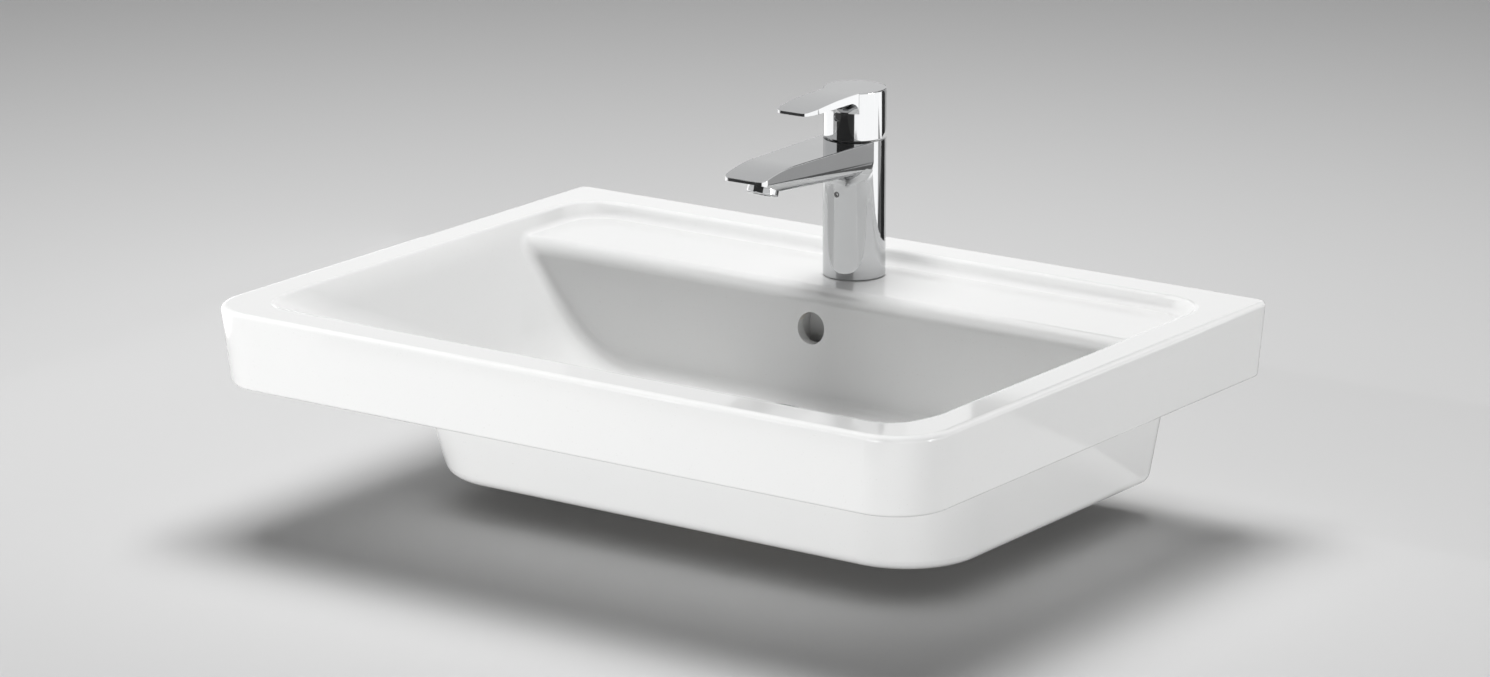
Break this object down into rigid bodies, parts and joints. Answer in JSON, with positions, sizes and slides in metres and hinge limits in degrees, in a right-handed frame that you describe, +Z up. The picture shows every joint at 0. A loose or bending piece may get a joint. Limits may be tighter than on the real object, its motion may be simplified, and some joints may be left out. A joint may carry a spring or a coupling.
{
  "type": "semi recessed basin",
  "caption": "Semi recessed wash basin with a sloped bowl, a sunk tap ledge, a single-lever mixer tap and a push-open waste.",
  "frame": {"origin": "middle of the basin's back face, level with the rim's underside, which rests on the furniture", "axes": "+X to the right seen from the front, +Y to the wall, +Z up"},
  "size_m": [0.6492, 0.4837, 0.3161],
  "materials": {
    "glaze": "gloss",
    "chrome": "polished",
    "brass": "machined",
    "steel": "machined",
    "rubber": "matte",
    "white_plastic": "satin",
    "grey_plastic": "satin",
    "index": "gloss"
  },
  "bodies": {
    "basin": {"basin_ceramic": "glaze", "tap_body": "chrome", "tap_base_seal": "rubber", "fixing_stud": "steel", "horseshoe_gasket": "rubber", "horseshoe_washer": "steel", "fixing_nut": "brass", "aerator_housing": "chrome", "aerator_insert": "grey_plastic", "aerator_gasket": "rubber", "index_ring": "index", "cartridge_body": "white_plastic", "hot_port_seal": "rubber", "cold_port_seal": "rubber", "cartridge_nut": "brass", "nut_cover": "chrome", "waste_body": "chrome", "flange_seal": "rubber", "lower_gasket": "rubber", "slip_washer": "white_plastic", "waste_backnut": "brass", "push_mechanism": "grey_plastic"},
    "swivel": {"cartridge_carrier": "grey_plastic", "stem_pin": "steel"},
    "lever": {"lever_handle": "chrome", "cartridge_stem": "steel", "grub_screw": "steel", "screw_plug": "chrome"},
    "plug": {"waste_plug": "chrome", "plug_stem": "steel", "plug_seal": "rubber"}
  },
  "joints": [
    {"name": "lever_turn", "type": "hinge", "parent": "basin", "child": "swivel", "pos_m": [0, -0.0814, 0.1593], "axis": [0, 0, 1], "range_deg": [-50, 50]},
    {"name": "lever_tilt", "type": "hinge", "parent": "swivel", "child": "lever", "pos_m": [0, -0.0814, 0.1623], "axis": [-1, 0, 0], "range_deg": [0, 25]},
    {"name": "plug_push", "type": "slide", "parent": "basin", "child": "plug", "axis": [0, 0, 1], "range_m": [0, 0.008]}
  ]
}
